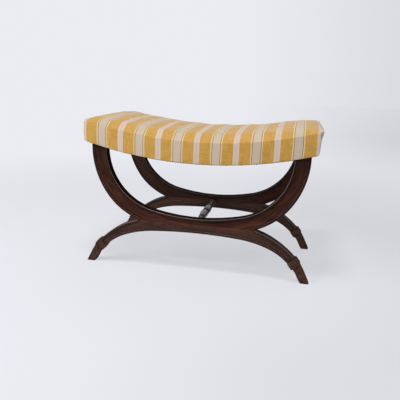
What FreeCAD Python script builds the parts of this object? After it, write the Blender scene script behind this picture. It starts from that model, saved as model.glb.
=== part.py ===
"""An upholstered stool on two X shaped side frames joined by a turned stretcher.

Each frame is a U over an arch. It is built from four curved quarter members, two arms and two sabre
legs, that meet on a glue line between the two crotches. The dished seat is a beech frame with webbing,
hessian, stuffing, wadding and a striped cover, and it stands on the heads of the four arms.

Axes, in millimetres: X runs along the stool, Y from front (-Y) to back (+Y), Z up from the floor.
The origin is on the floor, under the centre.
"""
import FreeCAD, Part
import math
import os

V = FreeCAD.Vector
X_AXIS = V(1, 0, 0)
Y_AXIS = V(0, 1, 0)
Z_AXIS = V(0, 0, 1)

# Side frames, as (x, z) points of the right half seen from the front
FRAME_FACE_Y = 194.5
FRAME_THICKNESS = 32.0
U_BOTTOM = (0.0, 186.5)
U_HAUNCH = (150.0, 204.0)
U_TOP = (310.0, 406.2)
ARM_HEAD_OUTSIDE_X = 360.5
ARM_STRAIGHT_Z = 408.0
ARM_ELBOW = (304.0, 243.0)
CROTCH = (195.0, 166.0)
CROTCH_RADIUS = 3.0
LEG_TOP_SLOPE = -13.0
LEG_SHOULDER = (254.0, 144.0)
ANKLE_TOP = (340.0, 77.5)
ARCH_CROWN = (0.0, 137.0)
ARCH_HAUNCH = (150.0, 130.3)
ARCH_KNEE = (247.3, 107.0)
ANKLE_UNDER = (318.5, 57.5)

# Bead and sunk panel on both faces of a frame
BEAD_WIDTH = 8.5
PANEL_DEPTH = 2.5
PANEL_STOP_BELOW_HEAD = 12.0
BEAD_OUTER_RADIUS = 3.0
BEAD_INNER_RADIUS = 1.8

# Ankle collar and foot
COLLAR_CENTRE = (333.0, 64.2)
COLLAR_SLOPE = -52.0
COLLAR_LENGTH = 27.0
COLLAR_WIDTH = 36.0
COLLAR_DEPTH = 37.0
COLLAR_ROUNDING = 4.0
FOOT_OUTER_START = (346.5, 75.0)
FOOT_OUTER_SLOPE = -58.5
FOOT_TOE = (386.0, 0.0)
FOOT_INNER_START = (318.5, 55.0)
FOOT_INNER_SLOPE = -34.0
FOOT_INNER_BEND = (344.0, 24.5)
FOOT_HEEL = (358.0, 0.0)
FOOT_HALF_DEPTH_AT_FLOOR = 13.0
FOOT_HALF_DEPTH_AT_ANKLE = 14.5
FOOT_ROUNDING = 2.5

# Stretcher, turned from its middle outwards; each curve starts where the one before ends
STRETCHER_Z = 163.0
STRETCHER_MIDDLE_RADIUS = 13.4
STRETCHER_CURVES = [
    # (name, distance of its end from the middle, radius at its end, radius halfway)
    ("half of the middle ring", 3.0, 12.2, 13.2),
    ("cove", 9.0, 10.4, 9.4),
    ("baluster, rising", 30.0, 14.2, 13.1),
    ("baluster, falling", 78.0, 8.8, 12.6),
    ("bead", 85.0, 8.6, 11.2),
    ("neck", 141.0, 8.8, 7.9),
    ("end ring", 149.0, 9.4, 12.0),
    ("flare to the shoulder", 165.0, 12.5, 10.4),
]
TENON_RADIUS = 10.0
TENON_LENGTH = 20.0

# Dowels
FRAME_DOWEL_RADIUS = 4.0
FRAME_DOWEL_LENGTH = 30.0
ARM_DOWEL_RADIUS = 5.0
ARM_DOWEL_LENGTH = 50.0
RAIL_DOWEL_RADIUS = 4.0
RAIL_DOWEL_LENGTH = 50.0
RAIL_DOWEL_HEIGHTS = (13.5, 34.5)
RAIL_DOWEL_FROM_END = 13.5
FRAME_DOWELS_ACROSS_MIDDLE = (-17.5, 16.5)
FRAME_DOWELS_X = (-130, -60, 60, 130)
ARM_DOWELS_X = (-343, -320, 320, 343)

# Dished seat: every layer lies a height above one cylinder along Y
SEAT_LOW_Z = 374.5
DISH_RADIUS = 1389.0
DISH_CENTRE_Z = SEAT_LOW_Z + DISH_RADIUS
SEAT_HALF_LENGTH = 380.0
SEAT_HALF_DEPTH = 212.0
BOXING_HEIGHT = 70.0
BOXING_BULGE = 1.2
CROWN_HEIGHT = 32.0
CROWN_SHOULDER = 53.0
CROWN_SHOULDER_SHARE = 0.82
CROWN_FULLNESS = 0.16
CROWN_RUN = 392.0
CROWN_POWER = 8
SECTION_SHARES = (0, 0.24, 0.47, 0.66, 0.79, 0.88, 0.94, 0.98, 1)

# Layers of the seat
COVER = 1.5
WADDING = 3.0
RAIL_HEIGHT = 45.0
RAIL_THICKNESS = 46.0
END_RAIL_THICKNESS = 40.0
COVER_TURN_UNDER = 26.0
WEB = 1.5
WEB_WIDTH = 50.0
WEB_TURNED_OVER = 28.0
CROSS_WEB_REACH = 200.0
LONG_WEB_REACH = 367.5
CROSS_WEBS_X = [number * 90 for number in range(-3, 4)]
LONG_WEBS_Y = (-88, 0, 88)
HESSIAN = 0.8
HESSIAN_INSET = 3.0
DUST_COVER = 0.7

# Glue blocks in the seat frame's corners, and their screws
BLOCK_LEG = 60.0
BLOCK_HEIGHT = 24.0
BLOCK_ABOVE_RAIL = 5.0
SCREW_RADIUS = 2.2
SCREW_LENGTH = 44.0
SCREW_HEAD_RADIUS = 4.5
SCREW_HEAD_DEPTH = 3.0

# Tacks
TACK_HEAD = 0.8
TACK_LIFT = 0.02
TACK_HEAD_RADIUS = 3.5
TACK_SHANK_RADIUS = 0.9
TACK_LENGTH = 12.0
TACKS_ACROSS_WEB = (-15, 0, 15)
COVER_TACKS_AT = (369.0, 204.0)
COVER_TACKS_ALONG_EACH_SIDE = (18, 9)
SHEET_TACKS_AT = (362.5, 200.5)
SHEET_TACKS_ALONG_EACH_SIDE = (15, 8)

FRAME_CENTRE_Y = FRAME_FACE_Y - FRAME_THICKNESS / 2
PANEL_FLOOR_Y = FRAME_FACE_Y - FRAME_THICKNESS + PANEL_DEPTH
RAIL_INSET = COVER + WADDING
RAIL_END_X = SEAT_HALF_LENGTH - RAIL_INSET
RAIL_FACE_Y = SEAT_HALF_DEPTH - RAIL_INSET
RAIL_BACK_Y = RAIL_FACE_Y - RAIL_THICKNESS
END_RAIL_BACK_X = RAIL_END_X - END_RAIL_THICKNESS
RAIL_TOP = COVER + RAIL_HEIGHT
WEB_TOP = RAIL_TOP + 2 * WEB
HESSIAN_LOW = WEB_TOP + TACK_HEAD
PAD_LOW = HESSIAN_LOW + HESSIAN
SHEET_LOW = -TACK_HEAD - 0.2 - DUST_COVER


def point(place):
    """An (x, z) place on the plane y = 0."""
    return V(place[0], 0, place[1])


def tangent_arcs(places, slope):
    """Arcs through the places, each tangent to the one before; slope in degrees starts the first."""
    edges = []
    heading = math.radians(slope)
    for start, end in zip(places[:-1], places[1:]):
        run = end[0] - start[0]
        rise = end[1] - start[1]
        chord = math.hypot(run, rise)
        half_turn = math.remainder(math.atan2(rise, run) - heading, 2 * math.pi)
        bulge = math.tan(half_turn / 2) / 2
        middle = ((start[0] + end[0]) / 2 + rise * bulge, (start[1] + end[1]) / 2 - run * bulge)
        if abs(half_turn) * chord < 0.01:
            edges.append(Part.makeLine(point(start), point(end)))
        else:
            edges.append(Part.Arc(point(start), point(middle), point(end)).toShape())
        heading += 2 * half_turn
    return edges


def closed_face(edges):
    return Part.Face(Part.Wire(Part.__sortEdges__(edges)))


def mirrored(shape, normal):
    return shape.mirror(V(0, 0, 0), normal)


def block(low, high):
    """A box between two corners."""
    return Part.makeBox(high[0] - low[0], high[1] - low[1], high[2] - low[2], V(*low))


def rod(centre, axis, radius, length):
    """A cylinder whose middle is at centre."""
    return Part.makeCylinder(radius, length, centre - axis * (length / 2), axis)


def joined(shapes):
    """One solid from several that touch or overlap."""
    return shapes[0].multiFuse(shapes[1:]).removeSplitter()


def group(solids):
    """Several separate solids in one node."""
    return Part.makeCompound(solids)


# The dish


def dish_z(x, height):
    """Height above the floor of the dished layer at x."""
    radius = DISH_RADIUS - height
    return DISH_CENTRE_Z - math.sqrt(radius * radius - x * x)


def dish_normal(x, height):
    """Unit vector that points up out of the dish at x."""
    return V(-x, 0, DISH_CENTRE_Z - dish_z(x, height)).normalize()


def dished_slab(x0, x1, low, high, y0, y1):
    """A slab that follows the dish between two heights above its underside."""
    middle = (x0 + x1) / 2
    floor = [V(x, y0, dish_z(x, low)) for x in (x0, middle, x1)]
    roof = [V(x, y0, dish_z(x, high)) for x in (x0, middle, x1)]
    edges = [Part.Arc(*floor).toShape(), Part.makeLine(floor[2], roof[2]),
             Part.Arc(*roof).toShape(), Part.makeLine(roof[0], floor[0])]
    return closed_face(edges).extrude(V(0, y1 - y0, 0))


# Side frames


def half_outline():
    """The right half of the frame's outline, without the foot."""
    head_in = (U_TOP[0], dish_z(U_TOP[0], COVER))
    head_out = (ARM_HEAD_OUTSIDE_X, dish_z(ARM_HEAD_OUTSIDE_X, COVER))
    head_middle_x = (U_TOP[0] + ARM_HEAD_OUTSIDE_X) / 2
    head_middle = (head_middle_x, dish_z(head_middle_x, COVER))
    elbow_start = (ARM_HEAD_OUTSIDE_X, ARM_STRAIGHT_Z)
    edges = tangent_arcs([U_BOTTOM, U_HAUNCH, U_TOP], 0)
    edges.append(Part.makeLine(point(U_TOP), point(head_in)))
    edges.append(Part.Arc(point(head_in), point(head_middle), point(head_out)).toShape())
    edges.append(Part.makeLine(point(head_out), point(elbow_start)))
    edges += tangent_arcs([elbow_start, ARM_ELBOW, CROTCH], -90)
    edges += tangent_arcs([CROTCH, LEG_SHOULDER, ANKLE_TOP], LEG_TOP_SLOPE)
    edges.append(Part.makeLine(point(ANKLE_TOP), point(ANKLE_UNDER)))
    edges += tangent_arcs([ARCH_CROWN, ARCH_HAUNCH, ARCH_KNEE, ANKLE_UNDER], 0)
    return edges


def along_y(edge):
    """True for a straight edge that runs through the frame's thickness."""
    start = edge.Vertexes[0].Point
    end = edge.Vertexes[-1].Point
    return abs(start.x - end.x) < 0.01 and abs(start.z - end.z) < 0.01


def at_depth(edge, depth):
    """True for an edge that lies flat in the plane y = depth."""
    return edge.BoundBox.YLength < 0.01 and abs(edge.BoundBox.YMin - depth) < 0.01


def plain_edge(edge):
    """The same edge as a plain line or arc."""
    start, end = edge.Vertexes[0].Point, edge.Vertexes[-1].Point
    middle = edge.valueAt((edge.FirstParameter + edge.LastParameter) / 2)
    if middle.distanceToPoint((start + end) / 2) < 0.0001:
        return Part.makeLine(start, end)
    return Part.Arc(start, middle, end).toShape()


def frame_blank():
    """A whole frame between y = 0 and its thickness, beaded and panelled on both faces."""
    half = half_outline()
    outline = closed_face(half + [mirrored(edge, X_AXIS) for edge in half])
    blank = outline.extrude(V(0, FRAME_THICKNESS, 0))
    crotches = [edge for edge in blank.Edges if along_y(edge)
                and abs(abs(edge.Vertexes[0].Point.x) - CROTCH[0]) < 0.01]
    blank = blank.makeFillet(CROTCH_RADIUS, crotches)
    front_face = min(blank.Faces, key=lambda face: face.CenterOfMass.y)
    panel = closed_face([plain_edge(edge) for edge in front_face.makeOffset2D(-BEAD_WIDTH).Edges])
    reach = SEAT_HALF_LENGTH
    above = dished_slab(-reach, reach, COVER - PANEL_STOP_BELOW_HEAD, COVER, -1, 1)
    panel = panel.cut(above).Faces[0]
    sunk = panel.extrude(V(0, PANEL_DEPTH, 0))
    blank = blank.cut(sunk).cut(sunk.translated(V(0, FRAME_THICKNESS - PANEL_DEPTH, 0)))
    for depth in (0, FRAME_THICKNESS):
        face_edges = [edge for edge in blank.Edges if at_depth(edge, depth)]
        outer = [edge for edge in face_edges if not on_panel(edge, panel)]
        blank = blank.makeFillet(BEAD_OUTER_RADIUS, outer)
        inner = [edge for edge in blank.Edges if at_depth(edge, depth) and on_panel(edge, panel)]
        blank = blank.makeFillet(BEAD_INNER_RADIUS, inner)
    return blank


def on_panel(edge, panel):
    """True if the middle of the edge lies on the outline of the sunk panel, seen from the front."""
    middle = edge.valueAt((edge.FirstParameter + edge.LastParameter) / 2)
    spot = Part.Vertex(V(middle.x, 0, middle.z))
    return any(spot.distToShape(side)[0] < 0.05 for side in panel.Edges)


def collar():
    """The rounded band round an ankle, on the frame's centre plane."""
    band = block((-COLLAR_LENGTH / 2, -COLLAR_DEPTH / 2, -COLLAR_WIDTH / 2),
                 (COLLAR_LENGTH / 2, COLLAR_DEPTH / 2, COLLAR_WIDTH / 2))
    band = band.makeFillet(COLLAR_ROUNDING, band.Edges)
    band.rotate(V(0, 0, 0), Y_AXIS, -COLLAR_SLOPE)
    band.translate(point(COLLAR_CENTRE) + V(0, FRAME_THICKNESS / 2, 0))
    return band


def foot():
    """The plain foot below the collar, thinner towards the floor."""
    edges = tangent_arcs([FOOT_OUTER_START, FOOT_TOE], FOOT_OUTER_SLOPE)
    edges.append(Part.makeLine(point(FOOT_TOE), point(FOOT_HEEL)))
    edges += tangent_arcs([FOOT_INNER_START, FOOT_INNER_BEND, FOOT_HEEL], FOOT_INNER_SLOPE)
    edges.append(Part.makeLine(point(FOOT_INNER_START), point(FOOT_OUTER_START)))
    side = closed_face(edges).extrude(V(0, FRAME_THICKNESS, 0))
    centre = FRAME_THICKNESS / 2
    top = FOOT_OUTER_START[1]
    taper = Part.makePolygon([V(0, centre - FOOT_HALF_DEPTH_AT_FLOOR, 0),
                              V(0, centre + FOOT_HALF_DEPTH_AT_FLOOR, 0),
                              V(0, centre + FOOT_HALF_DEPTH_AT_ANKLE, top),
                              V(0, centre - FOOT_HALF_DEPTH_AT_ANKLE, top),
                              V(0, centre - FOOT_HALF_DEPTH_AT_FLOOR, 0)])
    solid = side.common(Part.Face(taper).extrude(V(2 * FOOT_TOE[0], 0, 0)))
    arrises = [edge for edge in solid.Edges
               if edge.BoundBox.ZLength > 15 and edge.BoundBox.YLength < 5]
    return solid.makeFillet(FOOT_ROUNDING, arrises)


def quarter_members():
    """The right arm and right leg of a frame whose outer face is at y = 0."""
    blank = frame_blank()
    reach = FOOT_TOE[0] + 50
    upper = block((0, -1, CROTCH[1]), (reach, FRAME_THICKNESS + 1, SEAT_LOW_Z + 100))
    lower = block((0, -1, 0), (reach, FRAME_THICKNESS + 1, CROTCH[1]))
    arm = blank.common(upper)
    leg = joined([blank.common(lower), collar(), foot()])
    return arm, leg


def frame_dowels():
    """Dowels of one frame, on its centre plane: across the middle joint and through the glue line."""
    y = FRAME_THICKNESS / 2
    dowels = [rod(V(0, y, STRETCHER_Z + z), X_AXIS, FRAME_DOWEL_RADIUS, FRAME_DOWEL_LENGTH)
              for z in FRAME_DOWELS_ACROSS_MIDDLE]
    dowels += [rod(V(x, y, CROTCH[1] - 1), Z_AXIS, FRAME_DOWEL_RADIUS, FRAME_DOWEL_LENGTH)
               for x in FRAME_DOWELS_X]
    return dowels


def arm_head_dowels():
    """Two dowels up through the head of each arm into the rail above it."""
    dowels = []
    for x in ARM_DOWELS_X:
        for y in (-FRAME_CENTRE_Y, FRAME_CENTRE_Y):
            foot_of_rail = V(x, y, dish_z(x, COVER))
            dowels.append(rod(foot_of_rail, Z_AXIS, ARM_DOWEL_RADIUS, ARM_DOWEL_LENGTH))
    return dowels


def stretcher():
    """A double baluster turned about Y, with a ring at its middle and a tenon at each end."""
    start = V(0, 0, STRETCHER_MIDDLE_RADIUS)
    edges = []
    for name, distance, end_radius, halfway_radius in STRETCHER_CURVES:
        end = V(0, distance, end_radius)
        halfway = V(0, (start.y + distance) / 2, halfway_radius)
        edges.append(Part.Arc(start, halfway, end).toShape())
        start = end
    shoulder = start
    tenon_end = shoulder.y + TENON_LENGTH
    rest = [shoulder, V(0, shoulder.y, TENON_RADIUS), V(0, tenon_end, TENON_RADIUS), V(0, tenon_end, 0)]
    edges += [Part.makeLine(start, end) for start, end in zip(rest[:-1], rest[1:])]
    edges += [mirrored(edge, Y_AXIS) for edge in edges]
    edges.append(Part.makeLine(V(0, -tenon_end, 0), V(0, tenon_end, 0)))
    turned = closed_face(edges).revolve(V(0, 0, 0), Y_AXIS, 360)
    return turned.translated(V(0, 0, STRETCHER_Z))


# Seat frame


def seat_rails():
    """Front, back, left and right rails, all cut to the dish."""
    long_rail = dished_slab(-RAIL_END_X, RAIL_END_X, COVER, RAIL_TOP, RAIL_BACK_Y, RAIL_FACE_Y)
    end_rail = dished_slab(END_RAIL_BACK_X, RAIL_END_X, COVER, RAIL_TOP, -RAIL_BACK_Y, RAIL_BACK_Y)
    return {"back_seat_rail": long_rail, "front_seat_rail": mirrored(long_rail, Y_AXIS),
            "right_seat_rail": end_rail, "left_seat_rail": mirrored(end_rail, X_AXIS)}


def in_four_corners(shape):
    """The shape made for the front right corner, and its copies at the other three."""
    back = mirrored(shape, Y_AXIS)
    return {"front_right": shape, "back_right": back,
            "front_left": mirrored(shape, X_AXIS), "back_left": mirrored(back, X_AXIS)}


def corner_block():
    """The triangular glue block in the front right corner of the seat frame."""
    low = dish_z(END_RAIL_BACK_X, COVER) + BLOCK_ABOVE_RAIL
    corner = V(END_RAIL_BACK_X, -RAIL_BACK_Y, low)
    outline = [corner, corner - X_AXIS * BLOCK_LEG, corner + Y_AXIS * BLOCK_LEG, corner]
    return Part.Face(Part.makePolygon(outline)).extrude(Z_AXIS * BLOCK_HEIGHT)


def corner_screws():
    """Two countersunk screws, square to the long face of the front right corner block."""
    leg = BLOCK_LEG
    level = dish_z(END_RAIL_BACK_X, COVER) + BLOCK_ABOVE_RAIL + BLOCK_HEIGHT / 2
    inwards = V(1, -1, 0).normalize()
    screws = []
    for share in (1 / 3, 2 / 3):
        head = V(END_RAIL_BACK_X - leg * (1 - share), -RAIL_BACK_Y + leg * share, level)
        shank = Part.makeCylinder(SCREW_RADIUS, SCREW_LENGTH, head, inwards)
        countersink = Part.makeCone(SCREW_HEAD_RADIUS, SCREW_RADIUS, SCREW_HEAD_DEPTH, head, inwards)
        screws.append(joined([shank, countersink]))
    return screws


def rail_dowels():
    """Two dowels through the front right corner of the seat frame."""
    x = RAIL_END_X - RAIL_DOWEL_FROM_END
    return [rod(V(x, -RAIL_BACK_Y, dish_z(x, height)), Y_AXIS, RAIL_DOWEL_RADIUS, RAIL_DOWEL_LENGTH)
            for height in RAIL_DOWEL_HEIGHTS]


# Webbing, hessian and tacks


def tack(place, height, driven):
    """A tack's shank and its head. Driven is -1 from above and 1 from below; the head rests at height."""
    x, y = place
    into = dish_normal(x, height) * driven
    under_head = V(x, y, dish_z(x, height)) - into * TACK_LIFT
    shank = Part.makeCylinder(TACK_SHANK_RADIUS, TACK_LENGTH, under_head, into)
    head = Part.makeCylinder(TACK_HEAD_RADIUS, TACK_HEAD, under_head, into * -1)
    return shank, head


def tacks(places, height, driven):
    """A row of tacks as solids, and their shanks alone, which make the holes."""
    pairs = [tack(place, height, driven) for place in places]
    return [joined(pair) for pair in pairs], [shank for shank, head in pairs]


def cross_webbing():
    """Strips from the front rail to the back rail, their ends turned over double."""
    strips = []
    reach = CROSS_WEB_REACH
    turned = WEB_TURNED_OVER
    for x in CROSS_WEBS_X:
        x0 = x - WEB_WIDTH / 2
        strip = [dished_slab(x0, x0 + WEB_WIDTH, RAIL_TOP, RAIL_TOP + WEB, -reach, reach)]
        for y0 in (-reach, reach - turned):
            strip.append(dished_slab(x0, x0 + WEB_WIDTH, RAIL_TOP + WEB, WEB_TOP, y0, y0 + turned))
        strips.append(joined(strip))
    return strips


def long_webbing():
    """Strips from the left rail to the right rail over the cross strips, their ends turned under."""
    strips = []
    reach = LONG_WEB_REACH
    turned = WEB_TURNED_OVER
    for y in LONG_WEBS_Y:
        y0 = y - WEB_WIDTH / 2
        strip = [dished_slab(-reach, reach, RAIL_TOP + WEB, WEB_TOP, y0, y0 + WEB_WIDTH)]
        for x0 in (-reach, reach - turned):
            strip.append(dished_slab(x0, x0 + turned, RAIL_TOP, RAIL_TOP + WEB, y0, y0 + WEB_WIDTH))
        strips.append(joined(strip))
    return strips


def webbing_tack_places():
    """Three tacks through each end of every strip."""
    places = []
    half_turned = WEB_TURNED_OVER / 2
    on_long_rails = CROSS_WEB_REACH - half_turned
    on_end_rails = LONG_WEB_REACH - half_turned
    for across in TACKS_ACROSS_WEB:
        places += [(x + across, y) for x in CROSS_WEBS_X for y in (-on_long_rails, on_long_rails)]
        places += [(x, y + across) for x in (-on_end_rails, on_end_rails) for y in LONG_WEBS_Y]
    return places


def perimeter(half_length, half_depth, count_long, count_short):
    """Evenly spaced places round a rectangle, clear of its corners."""
    places = []
    for number in range(count_long):
        x = half_length * (2 * (number + 0.5) / count_long - 1)
        places += [(x, -half_depth), (x, half_depth)]
    for number in range(count_short):
        y = half_depth * (2 * (number + 0.5) / count_short - 1)
        places += [(-half_length, y), (half_length, y)]
    return places


# Upholstery


def crown(x):
    """How far the stuffing stands above the boxing's top edge at x."""
    return CROWN_HEIGHT * (1 - (abs(x) / CROWN_RUN) ** CROWN_POWER)


def seat_section(x, inset, low):
    """The seat's section at x, drawn in by inset on the sides and top, its underside at height low."""
    half = SEAT_HALF_DEPTH - inset
    bulge = half + BOXING_BULGE
    bottom = dish_z(x, low)
    edge = dish_z(x, 0) + BOXING_HEIGHT - inset
    rise = crown(x)
    shoulder_y = half - CROWN_SHOULDER
    shoulder_z = edge + CROWN_SHOULDER_SHARE * rise
    fullness = CROWN_FULLNESS * rise
    middle_y = half - CROWN_SHOULDER / 2 + fullness
    middle_z = edge + CROWN_SHOULDER_SHARE * rise / 2 + 2 * fullness
    level = (bottom + edge) / 2
    edges = []
    for side in (1, -1):
        edges.append(Part.Arc(V(x, side * half, bottom), V(x, side * bulge, level),
                              V(x, side * half, edge)).toShape())
        edges.append(Part.Arc(V(x, side * half, edge), V(x, side * middle_y, middle_z),
                              V(x, side * shoulder_y, shoulder_z)).toShape())
    edges.append(Part.Arc(V(x, shoulder_y, shoulder_z), V(x, 0, edge + rise),
                          V(x, -shoulder_y, shoulder_z)).toShape())
    edges.append(Part.makeLine(V(x, half, bottom), V(x, -half, bottom)))
    return Part.Wire(Part.__sortEdges__(edges))


def seat_loaf(inset, low):
    """The crowned, dished seat as one solid, made by a loft through sections along X."""
    length = SEAT_HALF_LENGTH - inset
    stations = [-length * share for share in reversed(SECTION_SHARES)]
    stations += [length * share for share in SECTION_SHARES[1:]]
    return Part.makeLoft([seat_section(x, inset, low) for x in stations], True, False)


def upholstery(arms):
    """Stuffing pad, wadding, striped cover and dust cover."""
    whole = seat_loaf(0, 0)
    inside = seat_loaf(COVER, COVER)
    stuffed = seat_loaf(RAIL_INSET, -5)
    below_pad = dished_slab(-400, 400, -20, PAD_LOW, -250, 250)
    opening_x = SEAT_HALF_LENGTH - COVER_TURN_UNDER
    opening_y = SEAT_HALF_DEPTH - COVER_TURN_UNDER
    opening = dished_slab(-opening_x, opening_x, -2, 3 * COVER, -opening_y, opening_y)
    sheet = dished_slab(-RAIL_END_X, RAIL_END_X, SHEET_LOW, SHEET_LOW + DUST_COVER,
                        -RAIL_FACE_Y, RAIL_FACE_Y)
    return {"stuffing_pad": stuffed.cut(below_pad),
            "wadding": inside.cut(stuffed),
            "striped_cover": whole.cut(inside).cut(opening).cut(group(arms)),
            "dust_cover": sheet.cut(group(arms))}


def build():
    """Every node of the stool, by name."""
    arm, leg = quarter_members()
    to_front = V(0, -FRAME_FACE_Y, 0)
    tenon_bore = rod(V(0, 0, STRETCHER_Z), Y_AXIS, TENON_RADIUS, 2 * (PANEL_FLOOR_Y + TENON_LENGTH))
    dowels = [dowel.translated(to_front) for dowel in frame_dowels()]
    dowels += [mirrored(dowel, Y_AXIS) for dowel in dowels]
    head_dowels = arm_head_dowels()
    arms = in_four_corners(arm.translated(to_front))
    legs = in_four_corners(leg.translated(to_front))
    bores = group([tenon_bore] + dowels + head_dowels)

    corner_dowels = []
    screws = []
    for dowel in rail_dowels():
        corner_dowels += in_four_corners(dowel).values()
    for screw in corner_screws():
        screws += in_four_corners(screw).values()
    web_tacks, web_holes = tacks(webbing_tack_places(), WEB_TOP, -1)
    cover_places = perimeter(*COVER_TACKS_AT, *COVER_TACKS_ALONG_EACH_SIDE)
    cover_tacks, cover_holes = tacks(cover_places, 0, 1)
    sheet_places = perimeter(*SHEET_TACKS_AT, *SHEET_TACKS_ALONG_EACH_SIDE)
    sheet_tacks, sheet_holes = tacks(sheet_places, SHEET_LOW, 1)
    rail_holes = group(corner_dowels + screws + head_dowels + web_holes + cover_holes + sheet_holes)
    layers = upholstery(list(arms.values()))

    nodes = {}
    for corner in arms:
        nodes[corner + "_arm"] = arms[corner].cut(bores)
        nodes[corner + "_leg"] = legs[corner].cut(bores)
    nodes["stretcher"] = stretcher()
    nodes["frame_dowels"] = group(dowels)
    nodes["arm_head_dowels"] = group(head_dowels)
    for name, rail in seat_rails().items():
        nodes[name] = rail.cut(rail_holes)
    nodes["seat_rail_dowels"] = group(corner_dowels)
    for corner, glue_block in in_four_corners(corner_block()).items():
        nodes[corner + "_corner_block"] = glue_block.cut(group(screws))
    nodes["corner_block_screws"] = group(screws)
    nodes["cross_webbing"] = group(cross_webbing()).cut(group(web_holes))
    nodes["long_webbing"] = group(long_webbing()).cut(group(web_holes))
    nodes["webbing_tacks"] = group(web_tacks)
    hessian_x = RAIL_END_X - HESSIAN_INSET
    hessian_y = RAIL_FACE_Y - HESSIAN_INSET
    nodes["hessian"] = dished_slab(-hessian_x, hessian_x, HESSIAN_LOW, PAD_LOW, -hessian_y, hessian_y)
    nodes["stuffing_pad"] = layers["stuffing_pad"]
    nodes["wadding"] = layers["wadding"]
    nodes["striped_cover"] = layers["striped_cover"].cut(group(cover_holes + sheet_holes))
    nodes["cover_tacks"] = group(cover_tacks)
    nodes["dust_cover"] = layers["dust_cover"].cut(group(sheet_holes))
    nodes["dust_cover_tacks"] = group(sheet_tacks)
    return nodes


def main():
    os.makedirs("parts", exist_ok=True)
    for name, shape in build().items():
        shape.exportStep("parts/" + name + ".step")
        print(name, len(shape.Solids), round(shape.Volume), shape.isValid())


main()
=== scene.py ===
# %% [markdown]
# # An upholstered stool on two X shaped frames
#
# The stool has two side frames of dark polished mahogany, each a U standing on an arch. One turned
# stretcher joins them, and a dished seat in a striped satin cloth lies on the four arm heads. The wood
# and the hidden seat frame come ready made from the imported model. What is made here is what a solid
# can't give: the cloth with its seams and puckers, the lining under the seat, and every finish.

import math

import bmesh
import bpy
import numpy as np
from mathutils import Matrix, Vector


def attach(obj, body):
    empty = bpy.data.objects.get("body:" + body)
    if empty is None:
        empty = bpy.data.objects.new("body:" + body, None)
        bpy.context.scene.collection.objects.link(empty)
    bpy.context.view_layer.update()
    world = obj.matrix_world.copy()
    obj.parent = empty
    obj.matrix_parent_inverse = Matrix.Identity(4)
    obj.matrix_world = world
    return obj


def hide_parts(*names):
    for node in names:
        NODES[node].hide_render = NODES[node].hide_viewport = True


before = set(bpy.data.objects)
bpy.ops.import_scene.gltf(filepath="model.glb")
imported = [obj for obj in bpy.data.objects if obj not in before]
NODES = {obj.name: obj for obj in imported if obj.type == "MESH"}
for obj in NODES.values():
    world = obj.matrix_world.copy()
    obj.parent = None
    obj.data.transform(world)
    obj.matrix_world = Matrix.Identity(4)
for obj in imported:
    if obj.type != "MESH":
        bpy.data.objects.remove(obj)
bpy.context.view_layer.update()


# %% [markdown]
# ## The camera
#
# A camera could be nudged by eye until the outline fits. Here its place and turn were worked out from
# the stool's own corners, feet and arches, and are written as named numbers. Yaw turns it about the
# upright axis, pitch tips it down, and roll leans it a little, because the picture isn't quite level.

# %% Camera
CAMERA_PLACE = Vector((0.3216, -1.7633, 0.6492))
CAMERA_YAW, CAMERA_PITCH, CAMERA_ROLL = (math.radians(angle) for angle in (-11.07, 13.89, -2.21))
FOCAL_PIXELS, PICTURE_PIXELS, SENSOR_MM = 501.5, 400, 36.0
NEAREST_SEEN = 0.05

ahead = Vector((math.sin(CAMERA_YAW) * math.cos(CAMERA_PITCH),
                math.cos(CAMERA_YAW) * math.cos(CAMERA_PITCH), -math.sin(CAMERA_PITCH)))
level_right = Vector((math.cos(CAMERA_YAW), -math.sin(CAMERA_YAW), 0))
level_down = ahead.cross(level_right)
right = math.cos(CAMERA_ROLL) * level_right + math.sin(CAMERA_ROLL) * level_down
down = -math.sin(CAMERA_ROLL) * level_right + math.cos(CAMERA_ROLL) * level_down

lens = bpy.data.cameras.new("camera")
lens.sensor_fit = "HORIZONTAL"
lens.sensor_width = SENSOR_MM
lens.lens = FOCAL_PIXELS / PICTURE_PIXELS * SENSOR_MM
lens.clip_start = NEAREST_SEEN
camera = bpy.data.objects.new("camera", lens)
bpy.context.scene.collection.objects.link(camera)
turn = Matrix((right, -down, -ahead)).transposed()
camera.matrix_world = Matrix.Translation(CAMERA_PLACE) @ turn.to_4x4()
bpy.context.scene.camera = camera
print("lens", round(lens.lens, 1), "mm")

# %% [markdown]
# ## A short way to write materials
#
# Nodes can be placed one by one, which takes many lines. A small class wraps a socket so that sums,
# products and powers are written as ordinary Python, and one method makes any other node.

# %% Values in a shader


class Val:
    """A number or colour that comes out of a node."""

    def __init__(self, tree, socket):
        self.tree = tree
        self.socket = socket

    def _math(self, operation, *values):
        """A Math node over the values."""
        node = self.tree.nodes.new("ShaderNodeMath")
        node.operation = operation
        for socket, value in zip(node.inputs, values):
            feed(self.tree, socket, value)
        return Val(self.tree, node.outputs[0])

    def __add__(self, other):
        return self._math("ADD", self, other)

    def __sub__(self, other):
        return self._math("SUBTRACT", self, other)

    def __rsub__(self, other):
        return self._math("SUBTRACT", other, self)

    def __mul__(self, other):
        return self._math("MULTIPLY", self, other)

    def __truediv__(self, other):
        return self._math("DIVIDE", self, other)

    def __pow__(self, other):
        return self._math("POWER", self, other)

    __radd__ = __add__
    __rmul__ = __mul__

    def sin(self):
        return self._math("SINE", self)

    def abs(self):
        return self._math("ABSOLUTE", self)

    def arctan2(self, other):
        return self._math("ARCTAN2", self, other)

    def wrap(self, high, low):
        """The value folded into the range from low to high."""
        return self._math("WRAP", self, high, low)

    def least(self, other):
        """The smaller of the two."""
        return self._math("MINIMUM", self, other)

    def most(self, other):
        """The larger of the two."""
        return self._math("MAXIMUM", self, other)


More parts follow.
